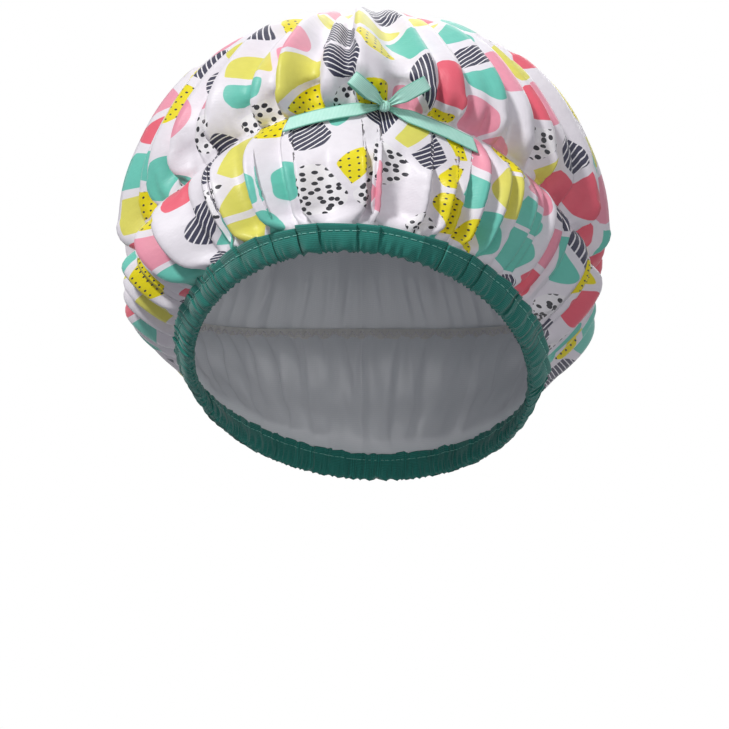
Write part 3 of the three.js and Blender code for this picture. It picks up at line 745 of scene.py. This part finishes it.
def threadPiece(name, paths, radius, material, sides=6):
    # round threads through paths, with closed and tapered ends
    points, faces, uv = [], [], []
    turn = np.arange(sides) / sides * tau
    for path in paths:
        ahead = unit(np.gradient(path, axis=0))
        lead = unit(np.cross(ahead, np.where(np.abs(ahead[:, 2:]) < 0.8, [[0, 0, 1.0]], [[1.0, 0, 0]])))
        side = np.cross(ahead, lead)
        thick = np.full((len(path), 1, 1), radius)
        thick[[0, -1]] *= 0.55
        ring = lead[:, None] * np.cos(turn)[:, None] + side[:, None] * np.sin(turn)[:, None]
        length, wrap = lengthAlong(path), thick[0, 0, 0] * turn[1]
        newFaces, newUv = wrapFaces(len(path), sides, lambda row, k: (length[row], wrap * k))
        newFaces += [list(range(sides))[::-1], [(len(path) - 1) * sides + k for k in range(sides)]]
        faces += [[i + len(points) for i in f] for f in newFaces]
        points += list((path[:, None] + thick * ring).reshape(-1, 3))
        uv += newUv + [(0, 0)] * 2 * sides
    return newPiece(name, np.array(points), faces, uv, material)


# ribbon bow: loops and tails start at their hinges on the knot
knotPoints, tackPoints = nodePoints("bow_knot"), nodePoints("bow_tack_thread")
knotMiddle, tackMiddle = knotPoints.mean(0), tackPoints.mean(0)
bowTurn = planTurn(knotMiddle[None], nodePoints("gather_top_thread"))
bowOut, bowAlong = ringOut(gatherTop, bowTurn)[0], ringAlong(gatherTop, bowTurn)[0]
bowUp = np.cross(bowOut, bowAlong)
bow = {
    "width": 6 * mm, "pinch": 2.4 * mm, "opens": 8 * mm, "thick": 0.34 * mm, "edge": 0.45, "crease": 0.5 * mm,
    "loopHigh": 7 * mm, "loopOpen": 0.45, "intoKnot": 0.9 * mm,
    "loopRipple": 0.35 * mm, "loopPhase": {"left": 1, "right": 2.5},
    "tailRipple": 0.3 * mm, "tailWave": 5.5 * mm,
}


def hingeOf(name):
    joint = next(j for j in frame["record"]["behaviour"]["joints"] if j["name"] == name)
    return np.array(joint["pos_m"]), unit(np.array(joint["axis"]))


def ribbonPiece(name, middle, wide, pinch):
    # a flat ribbon through rows of points: wide is its full width as a vector, pinch how much it is creased
    face = unit(np.cross(wide, unit(np.gradient(middle, axis=0))))
    length = lengthAlong(middle)
    across = np.linspace(-1, 1, 17)
    aside = np.abs(across)
    thick = bow["thick"] / 2 * (1 + bow["edge"] * smooth(aside, 0.8, 0.92))  # thicker at its woven edges
    thick = thick * np.sqrt(1 - np.clip((aside - 0.93) / 0.08, 0, 1) ** 2 * 0.8)  # which are rounded
    loopAcross, loopThick = np.r_[across, across[::-1]], np.r_[thick, -thick[::-1]]
    crease = np.cos(loopAcross * pi * 2.5) * bow["crease"]
    points = (middle[:, None] + wide[:, None] * loopAcross[:, None] / 2
              + face[:, None] * (loopThick + pinch[:, None] * crease)[..., None])
    sides = len(loopAcross)
    faces, uv = wrapFaces(
        len(middle), sides, lambda row, k: (length[row], loopAcross[k % sides] * bow["width"] / 2),
        turned=True)
    for row in (0, len(middle) - 1):
        for k in range(len(across) - 1):
            quad = [row * sides + j for j in (k, k + 1, sides - 2 - k, sides - 1 - k)]
            faces.append(quad if row == 0 else quad[::-1])
            uv += [(length[row], 0)] * 4
    return newPiece(name, points.reshape(-1, 3), faces, uv, ribbonMaterial)


def loopRibbon(side):
    root, wide = hingeOf(f"{side}_loop_lift")
    points = nodePoints(f"bow_loop_{side}")
    tip = points[np.argsort(size(points - root))[-4:]].mean(0)
    along = tip - root
    along = unit(along - wide * np.dot(along, wide))
    face = np.cross(wide, along)
    long = ((points - root) @ along).max() - bow["thick"]
    phase = np.linspace(bow["loopOpen"], tau - bow["loopOpen"], 57)
    ahead = long * (1 - np.cos(phase)) / 2
    rise = bow["loopHigh"] / 2 * np.sin(phase) * np.sin(phase / 2)
    opened = smooth(ahead, 0, bow["opens"])
    width = bow["pinch"] + (bow["width"] - bow["pinch"]) * opened
    sway = bow["loopRipple"] * np.sin(phase * 2.2 + bow["loopPhase"][side]) * opened
    middle = root + along * (ahead - bow["intoKnot"])[:, None] + face * (rise + sway)[:, None]
    return ribbonPiece(f"ribbon_loop_{side}", middle, wide * width[:, None], 1 - opened)


def tailRibbon(side):
    # the solid's corners lie in rows of four along the ribbon
    points = nodePoints(f"bow_tail_{side}")
    away = size(points - hingeOf(f"{side}_tail_lift")[0])
    rows = points[away.argsort()].reshape(-1, 4, 3)
    rowMiddle = rows.mean(1)
    rowWide = []
    for row, ahead in zip(rows - rowMiddle[:, None], np.gradient(rowMiddle, axis=0)):
        across = np.linalg.svd(row)[2][0]
        rowWide.append(across * np.ptp(row @ across) * np.sign(np.cross(across, ahead) @ bowOut))
    fine = np.linspace(0, len(rows) - 1, 64)

    def through(values):  # a smooth line through the rows
        slope = np.gradient(values, axis=0)
        i = np.minimum(fine.astype(int), len(rows) - 2)
        t = (fine - i)[:, None]
        return ((2 * t ** 3 - 3 * t ** 2 + 1) * values[i] + (t ** 3 - 2 * t ** 2 + t) * slope[i]
                + (3 * t ** 2 - 2 * t ** 3) * values[i + 1] + (t ** 3 - t ** 2) * slope[i + 1])
    middle, wide = through(rowMiddle), through(np.array(rowWide))
    start = unit(middle[0] - knotMiddle)
    middle = np.concatenate([[middle[0] - start * bow["intoKnot"]], middle])
    wide = np.concatenate([wide[:1], wide])
    away = size(middle - middle[0])
    opened = smooth(away, 0, bow["opens"])
    face = unit(np.cross(wide, np.gradient(middle, axis=0)))
    middle = middle + face * (bow["tailRipple"] * np.sin(away / bow["tailWave"]) * opened)[:, None]
    return ribbonPiece(f"ribbon_tail_{side}", middle, wide, 1 - opened)


ribbons = []
for side in ("left", "right"):
    for part, maker in (("loop", loopRibbon), ("tail", tailRibbon)):
        ribbons.append(dress(maker(side), f"bow_{part}_{side}", f"{side}_{part}"))

knot = {
    "rows": 25, "sides": 40, "wide": np.ptp(knotPoints @ bowOut), "high": np.ptp(knotPoints @ bowUp),
    "belly": 0.30, "square": 2.6, "flat": 0.97, "girth": 14 * mm, "dent": 0.4 * mm,
}


def ribbonKnot():
    # the ribbon wound over the middle of the bow, creased along the winding
    rows, sides, square = knot["rows"], knot["sides"], knot["square"]
    share = np.linspace(-1, 1, rows)
    turn = np.arange(sides) / sides * tau
    shape = (np.abs(np.cos(turn)) ** square + np.abs(np.sin(turn)) ** square) ** (-1 / square)
    points = []
    for s in share:
        belly = 1 - knot["belly"] * abs(s) ** 2.2
        crease = 1 - 0.07 * math.cos(s * pi * 3.2) - 0.05 * math.cos(s * pi * 7.1 + 0.6)
        radius = knot["wide"] / 2 * belly * crease * shape * (1 + 0.03 * np.sin(2 * turn + s * 2))
        points.append(knotMiddle + bowAlong * (s * knot["high"] / 2) + radius[:, None] * (
            bowOut * np.cos(turn)[:, None] * knot["flat"] + bowUp * np.sin(turn)[:, None]))
    points = np.concatenate(points)
    faces, uv = wrapFaces(
        rows, sides, lambda row, k: (k / sides * knot["girth"], share[row] * bow["width"] / 2))
    for row, inward in ((0, 1), (rows - 1, -1)):
        middle = len(points)
        ring = np.arange(sides) + row * sides
        points = np.concatenate([points, points[ring].mean(0)[None] + bowAlong * inward * knot["dent"]])
        for a, b in zip(ring, np.roll(ring, -1)):
            faces.append([middle, b, a] if row == 0 else [middle, a, b])
            uv += [(0, 0)] * 3
    return dress(newPiece("ribbon_knot", points, faces, uv, ribbonMaterial), "bow_knot")


ribbonKnot()

# tacking: a few stitches through the knot, and one winding round them
tack = {"long": np.ptp(tackPoints @ bowOut), "thick": 0.16 * mm, "bend": 0.12 * mm, "winding": 0.5 * mm,
        "places": ((-0.35, -0.3), (0.0, 0.38), (0.36, -0.2), (0.05, -0.02), (-0.2, 0.25))}  # mm along and up
tackPaths = []
along = np.linspace(-0.5, 0.5, 9)
for i, (u, v) in enumerate(tack["places"]):
    bend = tack["bend"] * np.sin(along * 7 + i)
    tackPaths.append(tackMiddle + np.outer(along * tack["long"], bowOut) + bowAlong * u * mm + bowUp * v * mm
                     + np.outer(bend, bowUp))
winding = np.linspace(0, tau * 2.5, 40)
tackPaths.append(tackMiddle + np.outer(np.linspace(-0.6, 0.6, 40) * mm, bowOut)
                 + tack["winding"] * (np.outer(np.cos(winding), bowAlong) + np.outer(np.sin(winding), bowUp)))
tacking = threadPiece("bow_tacking", tackPaths, tack["thick"], tealThreadMaterial)
dress(tacking, "bow_tack_thread")
stage("bow tied")

# the bow as the cloth feels it: the points of its ribbons, and a few at the back of its knot
knotBack = knotMiddle + np.array([[u, 2.3, v] for u in (-2, 0, 2) for v in (-2, 0, 2)]) * mm
bowSpots = np.concatenate([meshPoints(piece.data) for piece in ribbons] + [knotBack])


def pressUnder(points, gap, slope=0.9, reach=14 * mm, flat=1.2 * mm):
    # cloth in front of the bow is pushed back behind its ribbons, and rises again beside them
    low, high = bowSpots.min(0) - reach, bowSpots.max(0) + reach
    for i in np.flatnonzero(((points > low) & (points < high)).all(1)):
        away = np.hypot(bowSpots[:, 0] - points[i, 0], bowSpots[:, 2] - points[i, 2])
        back = (bowSpots[:, 1] + gap - slope * np.maximum(away - flat, 0))[away < reach]
        if len(back) and back.max() > points[i, 1]:
            points[i, 1] = back.max()
    return points


def clothArea(points, faces):
    area = 0.0
    for count in (3, 4):
        corners = points[np.array([f for f in faces if len(f) == count])]
        for k in range(1, count - 1):
            sides = corners[:, k] - corners[:, 0], corners[:, k + 1] - corners[:, 0]
            area += size(np.cross(*sides)).sum() / 2
    return area


def sewnCloth(name, how, gap, material):
    grid = clothGrid(how)
    piece = newPiece(name, grid["start"], grid["faces"], printUv(grid, how["columns"]), material, how["map"])
    points = grid["start"]
    points = drape(piece, grid, how)
    points = relax(keepNear(points, grid, how), grid, 2, 0.35)
    points = relax(pressUnder(points, gap), grid, 1, 0.2)
    points = pressUnder(points, gap)
    cutArea = clothArea(grid["cut"], grid["faces"])
    stage(f"{name} settled: cut {cutArea:.4f} m2, shown {clothArea(points, grid['faces']):.4f} m2")
    piece.data.vertices.foreach_set("co", points.astype(np.float32).ravel())
    piece.data.update()
    if how["finer"]:
        finer = piece.modifiers.new("finer", "SUBSURF")
        finer.levels = finer.render_levels = how["finer"]
        with bpy.context.temp_override(object=piece):
            bpy.ops.object.modifier_apply(modifier=finer.name)
        piece.data.shade_smooth()
    return piece


dress(sewnCloth("printed_satin_cap", satin, 0.7 * mm, satinMaterial), "outer_cap")

lining = {
    **satin, "columns": 320, "spacing": 4.6 * mm, "finer": 1, "map": "strip",
    "crownSlack": 0.87, "puffSlack": 0.96, "hemFullness": 1.15,
    "side": -1, "sink": 0.0, "inset": 11 * mm, "depth": 1.6 * mm, "hemOut": -0.5 * mm,
    "roll": 0.0, "shoulder": 0.0, "slump": 0.0,
    "lobeDepth": 5 * mm, "foldDepth": 3 * mm, "gatherDepth": 3 * mm, "pleatDepth": 4 * mm, "bandPleat": 0.4,
    "lobes": makeFolds(spacedEdges(46 * mm, 0.25, 33), 34, 0.6),
    "folds": makeFolds(spacedEdges(17 * mm, 0.3, 35), 36, 0.5),
    "gathers": makeFolds(spacedEdges(8.5 * mm, 0.3, 37), 38, 0.3),
    "pleats": makeFolds(spacedEdges(14 * mm, 0.3, 11, hemTop), 12, 0.5),
    "frames": 16, "hold": 0.6, "pressure": 5,
    "floor": (-22 * mm, -18 * mm), "ceiling": (-14 * mm, -10.5 * mm), "give": 0.08,
}
dress(sewnCloth("white_lining", lining, 2.2 * mm, liningMaterial), "lining")


# hem binding: a strip folded over the hem, in knife pleats, its lower fold puckered by the elastic
binding = {
    "columns": 1344, "overhang": 1.8 * mm, "pucker": 1.3 * mm, "scallop": 1.0 * mm, "fullness": 1.3,
    "puckers": makeFolds(spacedEdges(3.4 * mm, 0.35, 41, hemTop), 42, 0.5),
    "section": [  # outer half from the turned-in edge down to the fold, mm out and up from the stitch line
        (0.85, 1.2), (0.95, 2.3), (1.1, 3.0), (1.32, 3.2), (1.5, 2.9), (1.58, 2.2), (1.5, 1.3), (1.36, 0.55),
        (1.24, 0.0), (1.36, -0.6), (1.58, -1.5), (1.8, -2.7), (1.92, -4.0), (1.92, -5.3), (1.8, -6.5),
        (1.5, -7.6), (1.0, -8.4), (0.35, -8.85)],
}


def bandPoint(turn, out, up):
    # a point of the pleated band; out and up are in metres from the stitch line
    which, across, lift, over = panelWave(turn)
    front = smooth(out, -0.4 * mm, 1.1 * mm) - 0.5 * smooth(-out, 0.2 * mm, 1.2 * mm)
    pucker, lean = foldWave(turn, binding["puckers"]).T
    low, high = smooth(-up, 1.5 * mm, 8.6 * mm), smooth(up, -0.6 * mm, 2.8 * mm)
    outNow = out + lift * front * (1 - 0.45 * low) + binding["pucker"] * low * (pucker - 0.6) * np.sign(out)
    upNow = up + high * (panelStep[which] + panelTilt[which] * (across - 0.5))
    upNow = upNow + binding["scallop"] * low * (pucker - 0.5)
    return hemPoint(turn, outNow, upNow, binding["overhang"] * over * front + 0.4 * mm * low * lean)


def ringPiece(name, turns, section, place, material, fullness, openSides=False):
    # a ring: section is a list of points in millimetres, and place puts them round the hem or the gather
    ones = np.ones_like(turns)
    rows = np.stack([place(turns, ones * out * mm, ones * up * mm) for out, up in section], 1)
    step = size(np.roll(rows[:, 0], -1, 0) - rows[:, 0]).mean() * fullness
    wrap = lengthAlong(np.array(section + section[:1])) * mm
    faces, uv = wrapFaces(len(turns), len(section), lambda row, k: (step * row, wrap[k]), True, openSides)
    return newPiece(name, rows.reshape(-1, 3), faces, uv, material)


bandSection = binding["section"] + [(-out, up) for out, up in binding["section"][::-1]]
band = ringPiece("teal_binding", roundTurns(binding["columns"]), bandSection, bandPoint, bindingMaterial,
                 binding["fullness"], True)
dress(band, "hem_binding")
stage("hem bound")


# rows of stitches, each stitch dipping into the cloth at both ends
stitch = {
    "hem": 2.7 * mm, "gather": 2.9 * mm, "zigzag": 2.2 * mm, "share": 0.8, "sink": 0.4 * mm,
    "hemOut": 1.42 * mm, "swing": 1.2 * mm,
    "hemThick": 0.17 * mm, "gatherThick": 0.24 * mm, "zigzagThick": 0.2 * mm,
}


def stitchPaths(ring, step, place):
    # stitches at an even spacing along a ring
    turn = np.linspace(-pi, pi, 4001)
    length = lengthAlong(ringAt(ring, turn))
    count = round(length[-1] / step)
    edges = np.interp(np.arange(count + 1) / count * length[-1], length, turn)
    t = np.linspace(0, stitch["share"], 8)
    sink = stitch["sink"] * np.abs(2 * t / stitch["share"] - 1) ** 5
    return [place(start + (end - start) * t, sink, i) for i, (start, end) in enumerate(zip(edges, edges[1:]))]


def gatherStitch(turn, sink, i):
    return ringAt(gatherTop, turn) - ringOut(gatherTop, turn) * sink[:, None]


def zigzagStitch(turn, sink, i):
    # the inner row zigzags over the tape
    swing = np.linspace(-1, 1, len(turn)) * stitch["swing"] * (1 if i % 2 else -1)
    sunk = ringAt(gatherBobbin, turn) + ringOut(gatherBobbin, turn) * sink[:, None]
    return sunk + np.outer(swing, [0, 0, 1])


for name, node, side in (("hem_topstitching", "hem_top_thread", 1),
                         ("hem_inner_stitching", "hem_bobbin_thread", -1)):
    paths = stitchPaths(hemTop, stitch["hem"],
                        lambda turn, sink, i: bandPoint(turn, side * (stitch["hemOut"] - sink), 0 * turn))
    dress(threadPiece(name, paths, stitch["hemThick"], tealThreadMaterial), node)
for name, node, row, place in (("gather_stitching", "gather_top_thread", "gather", gatherStitch),
                               ("gather_inner_stitching", "gather_bobbin_thread", "zigzag", zigzagStitch)):
    paths = stitchPaths(gatherTop, stitch[row], place)
    dress(threadPiece(name, paths, stitch[row + "Thick"], whiteThreadMaterial), node)


# elastic tapes: flat knitted tapes with lengthwise ribs, drawn up in small puckers
tape = {"columns": 960, "rib": 0.22, "pucker": 0.3 * mm, "puckerWide": 3.4 * mm}


def gatherPoint(turn, out, up):
    return ringAt(gatherTape, turn) + ringOut(gatherTape, turn) * out[:, None] + np.outer(up, [0, 0, 1])


def tapePiece(name, node, ring, place, ribs):
    points = nodePoints(node)
    turn = planTurn(points, points)
    here = [place(turn, np.full_like(turn, a), np.full_like(turn, b)) for a, b in ((0, 0), (mm, 0), (0, mm))]
    out, tall = (dot(points - here[0], (here[i] - here[0]) / mm)[:, 0] / mm for i in (1, 2))
    outFrom, outTo, low, high = np.r_[np.percentile(out, [4, 96]), np.percentile(tall, [4, 96])]
    steps = ribs * 4
    heights = np.linspace(low, high, steps + 1)
    ripple = 1 - tape["rib"] * (0.5 + 0.5 * np.cos(np.linspace(0, tau * ribs, steps + 1)))
    middle, half = (outFrom + outTo) / 2, (outTo - outFrom) / 2
    section = [(middle + half * r, h) for h, r in zip(heights, ripple)][::-1]
    section += [(middle - half * r, h) for h, r in zip(heights, ripple)]
    puckers = makeFolds(spacedEdges(tape["puckerWide"], 0.3, 61, ring), 62)

    def puckered(turn, out, up):
        return place(turn, out + foldWave(turn, puckers, 0.5)[:, 0] * tape["pucker"], up)
    stage(f"{name} laid, {outTo - outFrom:.2f} mm thick")
    piece = ringPiece(name, roundTurns(tape["columns"]), section, puckered, elasticMaterial, 1.0)
    return dress(piece, node)


tapePiece("gather_elastic_tape", "gather_elastic", gatherTape, gatherPoint, 6)
tapePiece("hem_elastic_tape", "hem_elastic", hemTape, hemPoint, 5)


# white surroundings, soft fill from all round and three lamps
world = bpy.data.worlds.new("soft studio")
scene.world = world
world.use_nodes = True
tree = world.node_tree
tree.nodes.clear()
path = addNode(tree, "ShaderNodeLightPath").outputs
seen = path["Is Camera Ray"]  # rays that show the background, not its light
for ray in ("Is Glossy Ray", "Is Transmission Ray"):
    seen = addNode(tree, "ShaderNodeMath", {0: seen, 1: path[ray]}, operation="MAXIMUM")
fill = addNode(tree, "ShaderNodeBackground", {"Color": colour("#EFEEF9"), "Strength": 0.22})
white = addNode(tree, "ShaderNodeBackground", {"Color": (1, 1, 1, 1), "Strength": 1.0})
both = addNode(tree, "ShaderNodeMixShader", {0: seen, 1: fill, 2: white})
addNode(tree, "ShaderNodeOutputWorld", {"Surface": both})

softboxes = {  # turn from the front and height in degrees, how soft, strength
    "key": (-40, 46, 8, 2.3),
    "fill": (28, 12, 60, 0.55),
    "back": (165, 35, 50, 1.1),
}
for name, (turn, high, soft, strength) in softboxes.items():
    lamp = bpy.data.lights.new(f"{name} softbox", "SUN")
    lamp.angle, lamp.energy = math.radians(soft), strength
    holder = bpy.data.objects.new(f"{name}_softbox", lamp)
    holder.rotation_euler = (math.radians(90 - high), 0, math.radians(turn))
    scene.collection.objects.link(holder)

camera = bpy.data.objects.new("camera", bpy.data.cameras.new("camera"))
camera.location = (0.0014, -1.38, 0)
camera.rotation_euler = (pi / 2, 0, 0)
camera.data.lens = 160
camera.data.clip_start = 0.05
scene.collection.objects.link(camera)
scene.camera = camera
scene.view_settings.view_transform = "Standard"

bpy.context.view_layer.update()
stage("ready")
